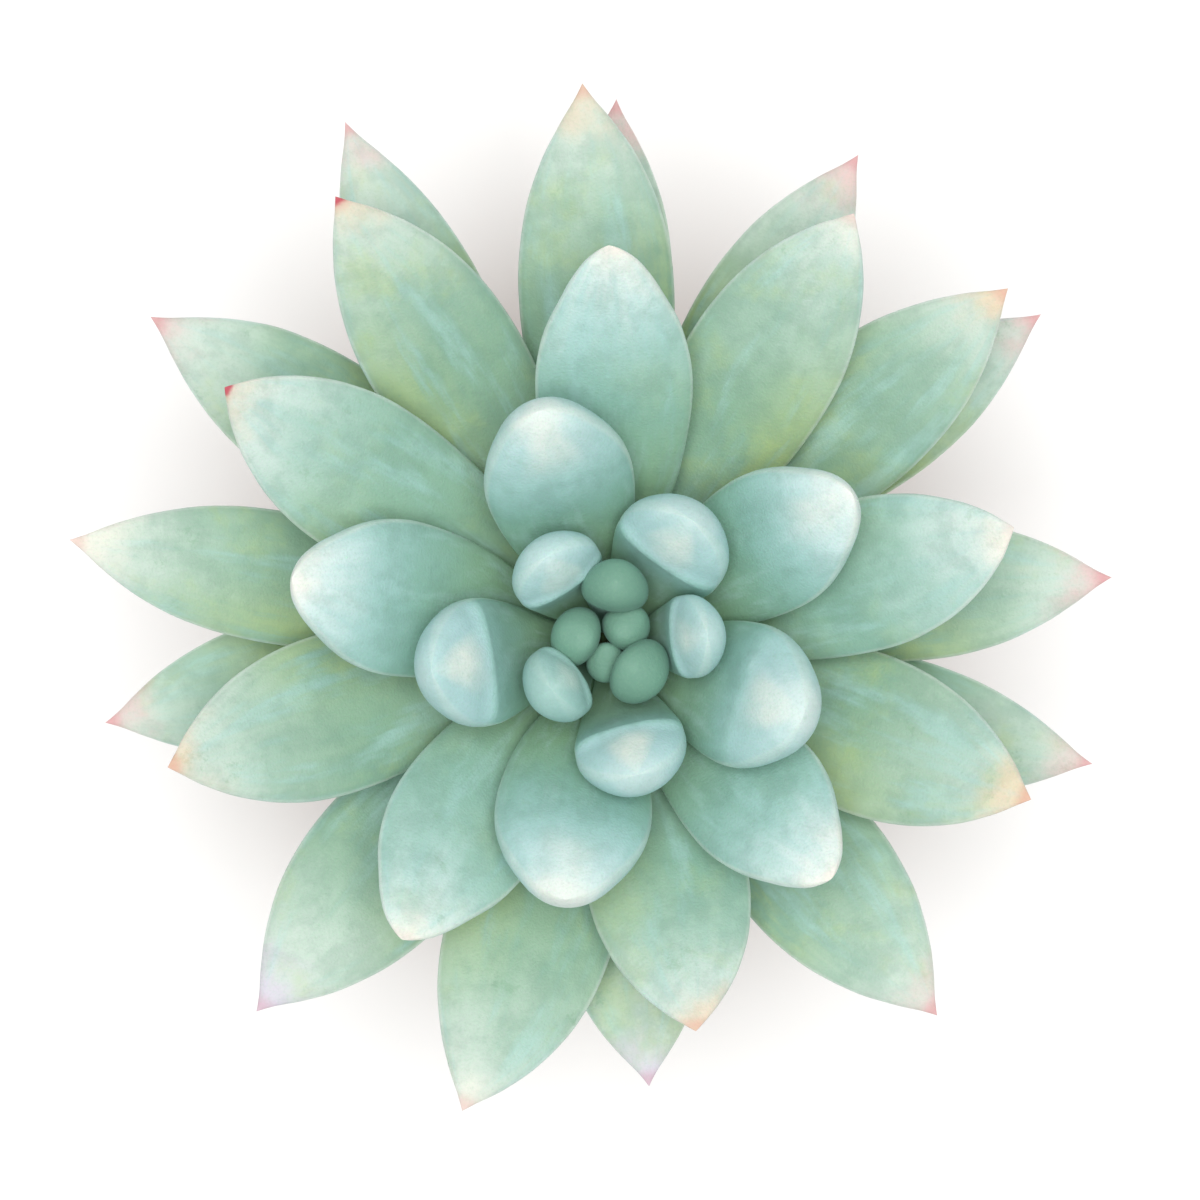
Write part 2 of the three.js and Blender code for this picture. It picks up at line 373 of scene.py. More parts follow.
def eased(profile, passes, closed=True):
    """Rounds the corners of an outline by averaging each point with its neighbours. Poles stay."""
    for _ in range(passes):
        around = zip(profile[-1:] + profile[:-1], profile, profile[1:] + profile[:1])
        softer = [((a[0] + 2 * b[0] + c[0]) / 4, (a[1] + 2 * b[1] + c[1]) / 4) for a, b, c in around]
        profile = softer if closed else profile[:1] + softer[1:-1] + profile[-1:]
    return profile


def thrown_tree():
    """A potter's wheel: fine rings round the wall, a wall that isn't quite true, and a flat foot."""
    tree, wire = shape_tree("thrown", {
        "Ring Pitch": "Float", "Ring Depth": "Float", "Wobble": "Float", "Surface": "Material"})
    place = add(tree, "GeometryNodeInputPosition")
    normal = add(tree, "GeometryNodeInputNormal")
    level = height_in(tree, place)
    rings = (level / wire["Ring Pitch"] * (2 * math.pi)).math("SINE") * wire["Ring Depth"]
    uneven = noise(tree, place, 130, detail=2).smooth(0.3, 0.7)
    untrue = (noise(tree, place, 22, detail=1) - 0.5) * wire["Wobble"]
    moved = shifted(tree, (0, 0, 0), (normal, rings * uneven + untrue))
    standing = level.smooth(*FLAT_FOOT)
    offset = shifted(tree, (0, 0, 0), (moved, standing))
    shape = add(tree, "GeometryNodeSetPosition", {"Geometry": wire["Geometry"], "Offset": offset})
    close_tree(tree, shape, wire["Surface"])
    return tree


pot_outline = eased(finely(cad_profile("pot"), POT_OUTLINE_STEP), 2)
pot = grown("terracotta_pot", turned_mesh("pot", pot_outline, POT_SIDES), thrown_tree(),
            ring_pitch=WHEEL_RING_PITCH, ring_depth=WHEEL_RING_DEPTH, wobble=POT_WOBBLE,
            surface=terracotta())
settle(pot, "clay", "pot")


# ---- Soil -----------------------------------------------------------------------------------------------
# A gritty mix for succulents, pressed down a little below the rim and mounded at the stem: dark bark
# crumbs with pale grains of perlite and pumice lying loose on top.
SOIL_SIDES = 160
SOIL_DARK = (0.012, 0.0075, 0.0045)
SOIL_BROWN = (0.06, 0.034, 0.018)
PERLITE = (0.72, 0.69, 0.62)
PUMICE = (0.36, 0.3, 0.23)
CRUMB_COUNT_PER_M2 = 420000
GRIT_COUNT_PER_M2 = 42000
CRUMB_SIZES = (0.0004, 0.0011)
GRIT_SIZES = (0.0007, 0.0017)
SOIL_LUMPS = 0.0011
SOIL_AXIS = 0.00005
SOIL_OUTLINE_STEP = 0.0007
SOIL_RELIEF = 0.0004
GRIT_RELIEF = 0.0003
SOIL_SIDE_DROP = 0.0014
RAGGEDNESS = 0.0007
MOUND_RADIUS = 0.03


def earth():
    """Dark, damp soil with browner patches."""
    material, tree, shader, place = new_surface("earth", roughness=0.95)
    patchy, rough = grain_wires(tree, place, 700, 2600)
    plug(tree, shader.inputs["Base Color"], mixed(tree, patchy, SOIL_DARK, SOIL_BROWN))
    bumped(tree, shader, rough, SOIL_RELIEF)
    return material


def read(tree, name, out="Fac"):
    """A value stored on the points, read in a material."""
    return add(tree, "ShaderNodeAttribute", out=out, attribute_name=name)


def grit_surface():
    """Perlite and pumice, each grain its own shade between the two."""
    material, tree, shader, place = new_surface("perlite_and_pumice", roughness=0.9)
    patchy, rough = grain_wires(tree, place, 900, 5000)
    colour = mixed(tree, read(tree, "shade").smooth(0.25, 0.75), PUMICE, PERLITE)
    plug(tree, shader.inputs["Base Color"], mixed(tree, patchy * 0.35, colour, SOIL_BROWN))
    bumped(tree, shader, rough, GRIT_RELIEF)
    return material


def soil_tree():
    """Lumps on the soil, with crumbs and grit scattered over it."""
    tree, wire = shape_tree("soil", {
        "Top": "Float", "Lumps": "Float", "Crumbs": "Float", "Smallest Crumb": "Float",
        "Largest Crumb": "Float", "Grit": "Float", "Smallest Grit": "Float", "Largest Grit": "Float",
        "Seed": "Int", "Surface": "Material", "Grit Surface": "Material"})
    place = add(tree, "GeometryNodeInputPosition")
    normal = add(tree, "GeometryNodeInputNormal")
    level = height_in(tree, place)
    on_top = level.smooth(wire["Top"] - SOIL_SIDE_DROP, wire["Top"])
    lumps = (noise(tree, place, 420, detail=4, roughness=0.65) - 0.5) * wire["Lumps"] * on_top
    offset = shifted(tree, (0, 0, 0), (normal, lumps))
    bed = add(tree, "GeometryNodeSetPosition", {"Geometry": wire["Geometry"], "Offset": offset})
    bed = add(tree, "GeometryNodeSetMaterial", {"Geometry": bed, "Material": wire["Surface"]})
    parts = [bed]
    for kind, surface, faces, seed in (("Crumb", "Surface", 1, 0), ("Grit", "Grit Surface", 2, 7)):
        density = wire["Crumbs"] if kind == "Crumb" else wire["Grit"]
        points = add(tree, "GeometryNodeDistributePointsOnFaces", {
            "Mesh": bed, "Density": density, "Seed": wire["Seed"] + seed, "Selection": on_top - 0.5})
        grain_shape = add(tree, "GeometryNodeMeshIcoSphere", {"Radius": 1.0, "Subdivisions": faces})
        own = add(tree, "FunctionNodeRandomValue", {
            "Min": (-3, -3, -3), "Max": (3, 3, 3), "Seed": seed + 1}, data_type="FLOAT_VECTOR")
        size = add(tree, "FunctionNodeRandomValue", {
            2: wire[f"Smallest {kind}"], 3: wire[f"Largest {kind}"], "Seed": seed + 2}, out=1)
        squash = add(tree, "FunctionNodeRandomValue", {
            "Min": (0.55, 0.55, 0.45), "Max": (1, 1, 0.85), "Seed": seed + 3}, data_type="FLOAT_VECTOR")
        scale = add(tree, "ShaderNodeVectorMath", {0: squash, "Scale": size}, operation="SCALE")
        shade = add(tree, "FunctionNodeRandomValue", {"Seed": seed + 4}, out=1)
        points = keep(tree, points, "shade", shade)
        grains = add(tree, "GeometryNodeInstanceOnPoints", {
            "Points": points, "Instance": grain_shape, "Scale": scale,
            "Rotation": add(tree, "FunctionNodeEulerToRotation", {0: own})})
        grains = add(tree, "GeometryNodeRealizeInstances", {"Geometry": grains})
        ragged = (noise(tree, place, 1500, detail=1) - 0.5) * RAGGEDNESS
        grains = add(tree, "GeometryNodeSetPosition", {
            "Geometry": grains, "Offset": shifted(tree, (0, 0, 0), (normal, ragged))})
        parts.append(add(tree, "GeometryNodeSetMaterial", {"Geometry": grains, "Material": wire[surface]}))
    joined = tree.nodes.new("GeometryNodeJoinGeometry")
    for part in reversed(parts):
        tree.links.new(part.socket, joined.inputs[0])
    real = add(tree, "GeometryNodeRealizeInstances", {"Geometry": Wire(joined.outputs[0])})
    plug(tree, tree.nodes.new("NodeGroupOutput").inputs["Geometry"], real)
    return tree


soil_path = [(0.0 if r < SOIL_AXIS else r, z) for r, z in cad_profile("soil")]
soil_outline = eased(finely(soil_path, SOIL_OUTLINE_STEP, closed=False), 1, closed=False)
soil_rim = max(z for r, z in soil_outline if r > MOUND_RADIUS)
soil = grown("soil_and_grit", turned_mesh("soil", soil_outline, SOIL_SIDES), soil_tree(),
             top=soil_rim, lumps=SOIL_LUMPS, crumbs=CRUMB_COUNT_PER_M2, smallest_crumb=CRUMB_SIZES[0],
             largest_crumb=CRUMB_SIZES[1], grit=GRIT_COUNT_PER_M2, smallest_grit=GRIT_SIZES[0],
             largest_grit=GRIT_SIZES[1], seed=11, surface=earth(), grit_surface=grit_surface())
settle(soil, "soil", "soil")


# ---- Stem -----------------------------------------------------------------------------------------------
# The fleshy stem stands in the soil and leans over to the growing point. Below the living leaves it is
# corky and brown, netted with the scars of leaves that have dropped; above, it is still green.
STEM_SIDES = 56
STEM_ROWS_PER_RING = 9
STEM_GREEN = (0.21, 0.29, 0.13)
STEM_CORK = (0.27, 0.19, 0.115)
STEM_SCAR = (0.12, 0.075, 0.045)
SCAR_DEPTH = 0.00065
STEM_RELIEF = 0.0005
STEM_UNEVEN = 0.0004
GREEN_FROM = (0.074, 0.088)


def bark():
    """Corky skin, darker in the scars, and green near the top."""
    material, tree, shader, place = new_surface("bark", roughness=0.85)
    patchy, rough = grain_wires(tree, place, 260, 2400)
    level = height_in(tree, place)
    green = level.smooth(*GREEN_FROM)
    colour = mixed(tree, green, STEM_CORK, STEM_GREEN)
    colour = mixed(tree, patchy * 0.5, colour, STEM_SCAR)
    colour = mixed(tree, read(tree, "scar").smooth(0.35, 0.9) * 0.55, colour, STEM_SCAR)
    plug(tree, shader.inputs["Base Color"], colour)
    fibres = noise(tree, place, 900, detail=4, stretch=(1, 1, 0.2))
    bumped(tree, shader, rough * 0.6 + fibres * 0.6, STEM_RELIEF)
    return material


def ring_loops(node):
    """A CAD node's rings of corners from its lower pole to its upper one, and the two poles. The corners
    of a ring are in the mesh's own order, so that their sums come out the same in every run."""
    shape = welded(node)
    most = max(len(v.link_edges) for v in shape.verts)
    poles = sorted((v for v in shape.verts if len(v.link_edges) == most), key=lambda v: v.co.z)
    seen = {poles[0]}
    loop = {poles[0]}
    rings = []
    while loop:
        loop = {edge.other_vert(v) for v in loop for edge in v.link_edges} - seen
        seen |= loop
        if loop and poles[-1] not in loop:
            rings.append([v.co.copy() for v in sorted(loop, key=lambda v: v.index)])
    return poles[0].co.copy(), rings, poles[-1].co.copy()


def spine_mesh(name, points):
    """A line of points, each a dict with its place and the values that the tree reads there."""
    mesh = bpy.data.meshes.new(name)
    mesh.from_pydata([p["centre"] for p in points], [(i, i + 1) for i in range(len(points) - 1)], [])
    for key in points[0]:
        if key == "centre":
            continue
        is_way = isinstance(points[0][key], Vector)
        layer = mesh.attributes.new(key, "FLOAT_VECTOR" if is_way else "FLOAT", "POINT")
        for value, point in zip(layer.data, points):
            setattr(value, "vector" if is_way else "value", point[key])
    return mesh


def swept_rings(tree, wire):
    """The start of a swept shape: an even curve through the spine, with a ring of points at each step.
    Gives the rings, whose size is set later, and each point's turn round its ring."""
    curve = add(tree, "GeometryNodeMeshToCurve", {"Mesh": wire["Geometry"]})
    curve = add(tree, "GeometryNodeCurveSplineType", {"Curve": curve}, spline_type="CATMULL_ROM")
    curve = add(tree, "GeometryNodeSetSplineResolution", {
        "Geometry": curve, "Resolution": wire["Rows Per Ring"]})
    curve = add(tree, "GeometryNodeResampleCurve", {"Curve": curve}, mode="EVALUATED")
    curve = keep(tree, curve, "centre", add(tree, "GeometryNodeInputPosition"), "FLOAT_VECTOR")
    ring = add(tree, "GeometryNodeCurvePrimitiveCircle", {"Resolution": wire["Sides"], "Radius": 0.001})
    turn = add(tree, "GeometryNodeInputIndex") * (2 * math.pi) / wire["Sides"]
    ring = keep(tree, ring, "turn", turn)
    rings = add(tree, "GeometryNodeCurveToMesh", {"Curve": curve, "Profile Curve": ring})
    return rings, attribute(tree, "turn")


def stem_tree():
    """A round stem through the CAD rings, creased in a net round the scars of old leaves."""
    tree, wire = shape_tree("stem", {
        "Rows Per Ring": "Int", "Sides": "Int", "Scar Depth": "Float", "Surface": "Material"})
    rings, turn = swept_rings(tree, wire)
    radius = attribute(tree, "girth")
    centre = attribute(tree, "centre", "FLOAT_VECTOR")
    level = height_in(tree, centre)
    cells = add(tree, "ShaderNodeCombineXYZ", {
        "X": turn.math("COSINE") * 1.2, "Y": turn.math("SINE") * 1.2, "Z": level * 330})
    scar = 1 - add(tree, "ShaderNodeTexVoronoi", {"Vector": cells, "Scale": 1.25},
                   feature="DISTANCE_TO_EDGE").smooth(0.02, 0.2)
    lumpy = noise(tree, add(tree, "GeometryNodeInputPosition"), 300, detail=3) - 0.5
    width = radius - scar * wire["Scar Depth"] * radius.smooth(0.001, 0.005) + lumpy * STEM_UNEVEN
    width = width * radius.smooth(0, 0.0004)
    place = shifted(tree, centre, ((1, 0, 0), width * turn.math("COSINE")),
                    ((0, 1, 0), width * turn.math("SINE")))
    rings = keep(tree, rings, "scar", scar)
    shape = add(tree, "GeometryNodeSetPosition", {"Geometry": rings, "Position": place})
    shape = add(tree, "GeometryNodeMergeByDistance", {"Geometry": shape, "Distance": WELD_DISTANCE})
    shape = add(tree, "GeometryNodeSetShadeSmooth", {0: shape})
    close_tree(tree, shape, wire["Surface"])
    return tree


def middle(points):
    """The mean of some points."""
    return sum(points, Vector()) / len(points)


stem_foot, stem_rings, stem_tip = ring_loops("stem")
stem_points = [{"centre": stem_foot, "girth": 0.0}]
for loop in stem_rings:
    centre = middle(loop)
    stem_points.append({"centre": centre, "girth": (loop[0] - centre).length})
stem_points.append({"centre": stem_tip, "girth": 0.0})
stem = grown("stem_with_scars", spine_mesh("stem", stem_points), stem_tree(),
             rows_per_ring=STEM_ROWS_PER_RING, sides=STEM_SIDES, scar_depth=SCAR_DEPTH, surface=bark())
settle(stem, "stem", "stem")


# ---- Leaves ---------------------------------------------------------------------------------------------
# Thick leaves full of water, set on the stem in a spiral. A young leaf is a blunt club, pressed flat
# towards the bud up to a crease below its cap. An old one is a pointed blade. Outside the bud, a pale
# wax bloom covers the blue-green skin and rubs off in patches.
LEAF_SIDES = 40
LEAF_ROWS_PER_RING = 6
LEAF_ROOT = 0.0022
LEAF_MUCRO = 0.0009
LEAF_APEX = 0.0013
LEAF_DENTS = 0.00035
# Leaves are counted from the youngest, leaf 1, to the oldest, leaf 41.
YOUNG_UNTIL = 17
YOUTH_FADES_OVER = 6
OLD_FROM = 18
AGES_OVER = 14
WAX_FROM = 5
WAX_COMES_OVER = 2
TIGHT_BUD = range(1, 6)
CREASE_AT = 0.72
CREASED = range(6, 12)
# The six youngest leaves, from leaf 1: how much thicker they are, how far they lean in over the
# growing point, and how much wider they are.
BUD_PLUMP = (2.3, 1.9, 1.6, 1.5, 1.35, 1.2)
BUD_CLOSED = (0.6, 0.0, 0.25, 0.3, 0.0, 0.12)
BUD_GIRTH = (1.3, 1.15, 1.15, 1.1, 1.06, 1.0)
OUTER_YOUNG = range(12, 20)
CREASE_BOW = -0.04
CREASE_SOFTNESS = 0.06
CREASE_DEEP = 0.85
CREASE_OF_BUD = 0.15
CREASE_FADING = 0.4
OUTER_TAPER = 0.15
OUTER_BLUNT = 0.36
YOUNG_BLUNT = 0.1
SECTION_ROUNDNESS = 0.95
PRESSED_FLAT = 0.45
RIDGE_RISE = 0.2
HOLLOW_DEPTH = 0.2
CAP_FALL = 0.3
KEEL_FALL = 0.32
MUCRO_REACH = 0.03
APEX_REACH = 0.1
WAX_RELIEF = 0.00012
SKIN_OLIVE = (0.24, 0.4, 0.27)
SKIN_SHADE = (0.14, 0.25, 0.2)
SKIN_MOSS = (0.235, 0.41, 0.225)
SKIN_BUD = (0.15, 0.3, 0.225)
SKIN_GREEN = (0.235, 0.405, 0.3)
SKIN_BLUE = (0.29, 0.53, 0.47)
SKIN_FLUSH = (0.44, 0.54, 0.2)
BLOOM_COOL = (0.44, 0.67, 0.66)
BLOOM_OLD = (0.42, 0.56, 0.46)
BLOOM_CAP = (0.38, 0.575, 0.59)
BLOOM_PALE = (0.68, 0.8, 0.79)
# The cream of the painted highlight on the crown of a young cap, where the overhead light falls.
CAP_HIGHLIGHT_CREAM = (0.86, 0.83, 0.72)
BLOOM_DULL = (0.54, 0.63, 0.56)
MARGIN = (0.74, 0.84, 0.76)
TIP_CREAM = (0.90, 0.80, 0.70)
TIP_PEACH = (0.82, 0.52, 0.33)
TIP_ROSE = (0.74, 0.40, 0.42)
TIP_LILAC = (0.62, 0.53, 0.66)
TIP_RED = (0.45, 0.04, 0.08)
PEACH_TIPS = (22, 24, 25, 28, 31)
LILAC_TIPS = (32, 35)
RED_POINTS = (21, 26)
ROSE_TIPS = (30, 33, 34, 36, 37, 38, 39, 40, 41)


def leaf_spine(node):
    """The line along the middle of a leaf, with the leaf's directions and half sizes at each ring."""
    foot, loops, tip = ring_loops(node)
    points = []
    for loop in loops:
        centre = middle(loop)
        run = ring_normal(loop, centre)
        if run.dot(tip - foot) < 0:
            run.negate()
        side = Vector((0, 0, 1)).cross(run).normalized()
        upward = run.cross(side)
        across = [(p - centre).dot(side) for p in loop]
        level = [(p - centre).dot(upward) for p in loop]
        edge = level[across.index(max(across))]
        points.append({
            "centre": centre + side * (max(across) + min(across)) / 2 + upward * edge,
            "side": side, "upward": upward, "half_width": (max(across) - min(across)) / 2,
            "over": max(level) - edge, "under": edge - min(level)})
    length = 0.0
    for near, far in zip(points, points[1:] + [{"centre": tip}]):
        near["along"] = length
        length += (far["centre"] - near["centre"]).length
    first = points[0]
    run = first["side"].cross(first["upward"])
    # The root runs on into the stem, and closes there.
    root = [{**first, "centre": first["centre"] - run * LEAF_ROOT * reach} for reach in (1, 0.9)]
    root[0].update(half_width=0.0, over=0.0, under=0.0)
    end = {**points[-1], "centre": tip, "along": length, "half_width": 0.0, "over": 0.0, "under": 0.0}
    points = root + points + [end]
    for point in points:
        point["along"] /= length
    return points


def ring_normal(loop, centre):
    """The direction square to a flat ring of points."""
    ways = [p - centre for p in loop]
    crosses = [a.cross(b) for a in ways[:4] for b in ways]
    return max(crosses, key=lambda c: c.length).normalized()


def thickness(tree, wire, along, across, rise):
    """How far the skin is above the leaf's middle: the pressed face, the crease and the keeled cap
    above, and a plain round belly below. Also gives where the crease is."""
    crease = wire["Crease At"] + across * across * CREASE_BOW
    past = (along - crease) / CREASE_SOFTNESS
    ridge = (past.math("ABSOLUTE") * -1).math("EXPONENT")
    hollow = (along / crease).math("MINIMUM", 1.0).math("MULTIPLY", math.pi).math("SINE")
    pressed = wire["Crease"] * along.smooth(0.1, crease) * (1 - along.smooth(crease, 1.0) * 0.8)
    top = rise.math("MAXIMUM", 0.0) ** (SECTION_ROUNDNESS - pressed * PRESSED_FLAT)
    facets = ridge * RIDGE_RISE - hollow * hollow * HOLLOW_DEPTH - along.smooth(crease, 1.0) * CAP_FALL
    faceted = 1 + wire["Crease"] * facets
    keel = 1 - across.math("ABSOLUTE") * wire["Crease"] * (along - crease).smooth(-0.02, 0.06) * KEEL_FALL
    top = top * attribute(tree, "over") * faceted * keel * wire["Plump"]
    bottom = (rise * -1).math("MAXIMUM", 0.0) ** SECTION_ROUNDNESS
    bottom = bottom * attribute(tree, "under") * wire["Plump"]
    return top - bottom, crease


def leaf_tree():
    """A fleshy leaf, swept through the rings of its spine."""
    tree, wire = shape_tree("leaf", {
        "Rows Per Ring": "Int", "Sides": "Int", "Youth": "Float", "Crease At": "Float",
        "Crease": "Float", "Plump": "Float", "Age": "Float", "Wax": "Float", "Widest": "Float",
        "Taper": "Float", "Blunt": "Float", "Apex": "Float", "Mucro": "Float", "Dents": "Float",
        "Seed": "Float", "Tip Colour": "Color", "Tip Stain": "Float", "Red Point": "Float",
        "Surface": "Material"})
    rings, turn = swept_rings(tree, wire)
    along = attribute(tree, "along")
    across = turn.math("COSINE") * -1
    rise = turn.math("SINE")
    level, crease = thickness(tree, wire, along, across, rise)
    side = attribute(tree, "side", "FLOAT_VECTOR")
    upward = attribute(tree, "upward", "FLOAT_VECTOR")
    run = add(tree, "ShaderNodeVectorMath", {0: side, 1: upward}, operation="CROSS_PRODUCT")
    point = ((along - 1) / MUCRO_REACH).math("EXPONENT") * wire["Mucro"]
    apex = ((along - 1) / APEX_REACH).math("EXPONENT") * wire["Apex"]
    share = attribute(tree, "half_width") / wire["Widest"]
    outline = 1 + wire["Taper"] * along.smooth(0.4, 0.75) - wire["Blunt"] * along.smooth(0.78, 1.0)
    half_width = share ** outline * wire["Widest"]
    place = shifted(tree, attribute(tree, "centre", "FLOAT_VECTOR"),
                    (side, across * half_width), (upward, level), (run, point + apex))
    shape = add(tree, "GeometryNodeSetPosition", {"Geometry": rings, "Position": place})
    shape = add(tree, "GeometryNodeMergeByDistance", {"Geometry": shape, "Distance": WELD_DISTANCE})
    shape = add(tree, "GeometryNodeFlipFaces", {"Mesh": shape})
    where = shifted(tree, add(tree, "GeometryNodeInputPosition"), ((1, 1, 1), wire["Seed"]))
    dents = (noise(tree, where, 75, detail=2) - 0.5) * wire["Dents"] * along.smooth(0.0, 0.2)
    dents = dents * (1 - along.smooth(0.9, 1.0))
    normal = add(tree, "GeometryNodeInputNormal")
    shape = add(tree, "GeometryNodeSetPosition", {
        "Geometry": shape, "Offset": shifted(tree, (0, 0, 0), (normal, dents))})
    kept = {"across": across, "face": rise, "cap": (along - crease).smooth(-0.012, 0.03) * wire["Youth"]}
    for label in ("Age", "Wax", "Seed", "Tip Stain", "Red Point"):
        kept[label.lower().replace(" ", "_")] = wire[label]
    for name, value in kept.items():
        shape = keep(tree, shape, name, value)
    shape = keep(tree, shape, "tip_colour", wire["Tip Colour"], "FLOAT_COLOR")
    shape = add(tree, "GeometryNodeSetShadeSmooth", {0: shape})
    close_tree(tree, shape, wire["Surface"])
    return tree


def leaf_values(tree, place):
    """What a leaf's colours are made from: its stored values, and random patterns of its own."""
    names = ("along", "across", "face", "age", "wax", "cap", "seed", "tip_stain", "red_point")
    leaf = {name: read(tree, name) for name in names}
    leaf["tip_colour"] = read(tree, "tip_colour", out="Color")
    leaf["place"] = shifted(tree, place, ((1, 1, 1), leaf["seed"]))
    leaf["patchy"], leaf["rough"] = grain_wires(tree, leaf["place"], 110, 2600)
    leaf["cloudy"] = noise(tree, leaf["place"], 42, detail=4, roughness=0.6)
    lengthwise = add(tree, "ShaderNodeCombineXYZ", {
        "X": leaf["along"] * 2, "Y": leaf["across"] * 1.6, "Z": leaf["seed"] * 3})
    leaf["streaky"] = noise(tree, lengthwise, 1.7, detail=6, roughness=0.62)
    leaf["reach"] = leaf["along"] + (leaf["cloudy"] - 0.5) * 0.4 + (leaf["streaky"] - 0.5) * 0.25
    leaf["aged"] = leaf["age"].smooth(0.35, 0.62)
    return leaf


def bare_skin(tree, leaf):
    """The skin below the wax: green at the foot, bluer above, and flushed yellow on one flank when old."""
    along, aged, cloudy = leaf["along"], leaf["aged"], leaf["cloudy"]
    young = 1 - aged
    skin = mixed(tree, aged, SKIN_BLUE, SKIN_GREEN)
    foot = mixed(tree, aged, SKIN_MOSS, SKIN_OLIVE)
    up = leaf["reach"].smooth(young * 0.17 + 0.05, young * 0.26 + 0.42)
    skin = mixed(tree, leaf["wax"], SKIN_BUD, mixed(tree, up, foot, skin))
    flank = (leaf["across"] * (leaf["seed"] - 1.5).math("SIGN")).smooth(-0.1, 0.85)
    low = 1 - along.smooth(0.55, 1.0)
    flush = (flank * 0.8 + 0.2) * low * (cloudy + leaf["streaky"]).smooth(0.8, 1.1) * aged
    return mixed(tree, flush * 0.7, skin, SKIN_FLUSH)


def waxed(tree, skin, leaf):
    """The bloom: thicker towards the tip, on the cap and along the margins, over a foot that is darker
    on some leaves than on others."""
    along, across, reach = leaf["along"], leaf["across"], leaf["reach"]
    aged, wax, cap = leaf["aged"], leaf["wax"], leaf["cap"]
    bloom = mixed(tree, aged, mixed(tree, cap, BLOOM_COOL, BLOOM_CAP), BLOOM_OLD)
    cool = reach.smooth(0.5, 0.92).math("MAXIMUM", cap) * wax
    skin = mixed(tree, cool * (0.8 + leaf["patchy"] * 0.2), skin, bloom)
    pale = reach.smooth(0.72, 1.0) * wax * (1 - cap * 0.85)
    skin = mixed(tree, pale * 0.92, skin, mixed(tree, aged, BLOOM_PALE, BLOOM_DULL))
    own = (leaf["seed"] * 7.3).math("FRACT")
    skin = mixed(tree, own * 0.2 * (1 - reach.smooth(0.55, 0.95)), skin, SKIN_SHADE)
    rim = (across.math("ABSOLUTE") + (leaf["cloudy"] - 0.5) * 0.04).smooth(0.945, 0.998)
    rim = rim * along.smooth(0.25, 0.6)
    return mixed(tree, rim * wax * (0.5 - cap * 0.3), skin, MARGIN)


def weathered(tree, skin, leaf):
    """Where the bloom is washed, streaked, scuffed or blotchy, and a painted highlight on a young cap's
    crown.
    """
    aged, wax, cap = leaf["aged"], leaf["wax"], leaf["cap"]
    washed = noise(tree, leaf["place"], 75, detail=5, roughness=0.65)
    skin = mixed(tree, washed.smooth(0.5, 0.7) * aged * 0.35, skin, SKIN_FLUSH)
    skin = mixed(tree, (1 - leaf["streaky"].smooth(0.3, 0.52)) * wax * 0.4, skin, BLOOM_COOL)
    scuffed = noise(tree, leaf["place"], 160, detail=6, roughness=0.75).smooth(0.6, 0.68)
    skin = mixed(tree, scuffed * wax * (0.16 + aged * 0.3), skin, SKIN_OLIVE)
    blotchy = noise(tree, leaf["place"], 210, detail=5, roughness=0.62, stretch=(1, 1, 0.6))
    skin = mixed(tree, blotchy.smooth(0.44, 0.62) * wax * 0.2 * (1 - cap * 0.5), skin, SKIN_SHADE)
    across = leaf["across"]
    # A painted highlight: a cream patch along the middle of a young cap's crown, on its upper face, which
    # faces the light overhead.
    crown_highlight = 1 - (leaf["along"] + (leaf["cloudy"] - 0.5) * 0.12 - 0.87).math("ABSOLUTE").smooth(0.0, 0.16)
    crown_highlight = crown_highlight * (1 - (across * across + (leaf["streaky"] - 0.5) * 0.3).smooth(0.0, 0.4))
    crown_highlight = crown_highlight * leaf["face"].smooth(0.2, 0.8)
    return mixed(tree, crown_highlight * cap * wax * (0.22 + leaf["patchy"] * 0.38), skin, CAP_HIGHLIGHT_CREAM)


def tipped(tree, skin, leaf):
    """The stained tip, the fine grain of the wax, and the coloured point."""
    along, cloudy, patchy, tip_colour = leaf["along"], leaf["cloudy"], leaf["patchy"], leaf["tip_colour"]
    stained = (along + (cloudy - 0.5) * 0.2 + (patchy - 0.5) * 0.07).smooth(0.87, 1.03)
    stained = leaf["tip_stain"] * leaf["wax"] * stained * (1 - leaf["cap"] * 0.8)
    skin = mixed(tree, stained, skin, tip_colour)
    grains = noise(tree, leaf["place"], 2300, detail=3, roughness=0.7)
    skin = mixed(tree, grains.smooth(0.45, 0.75) * 0.22, skin, SKIN_OLIVE)
    point = (along + (cloudy - 0.5) * 0.02).smooth(0.965, 0.992) * leaf["aged"]
    skin = mixed(tree, point * 0.5, skin, mixed(tree, 0.6, tip_colour, TIP_RED))
    dot = (along + (patchy - 0.5) * 0.008).smooth(0.982, 0.992) * leaf["red_point"]
    return mixed(tree, dot * 0.9, skin, TIP_RED)


def waxy_leaf():
    """Fleshy skin that lets a little light in, under a powdery wax."""
    material, tree, shader, place = new_surface(
        "waxy_leaf", roughness=0.55, subsurface_weight=0.1, subsurface_scale=0.003, sheen_weight=0.12,
        sheen_roughness=0.5)
    plug(tree, shader.inputs["Subsurface Radius"], (0.5, 1.0, 0.6))
    plug(tree, shader.inputs["Sheen Tint"], BLOOM_COOL)
    plug(tree, shader.inputs["Specular IOR Level"], 0.3)
    leaf = leaf_values(tree, place)
    skin = bare_skin(tree, leaf)
    skin = waxed(tree, skin, leaf)
    skin = weathered(tree, skin, leaf)
    skin = tipped(tree, skin, leaf)
    plug(tree, shader.inputs["Base Color"], skin)
    plug(tree, shader.inputs["Roughness"], 0.5 + 0.2 * leaf["patchy"])
    bumped(tree, shader, leaf["rough"], WAX_RELIEF)
    return material


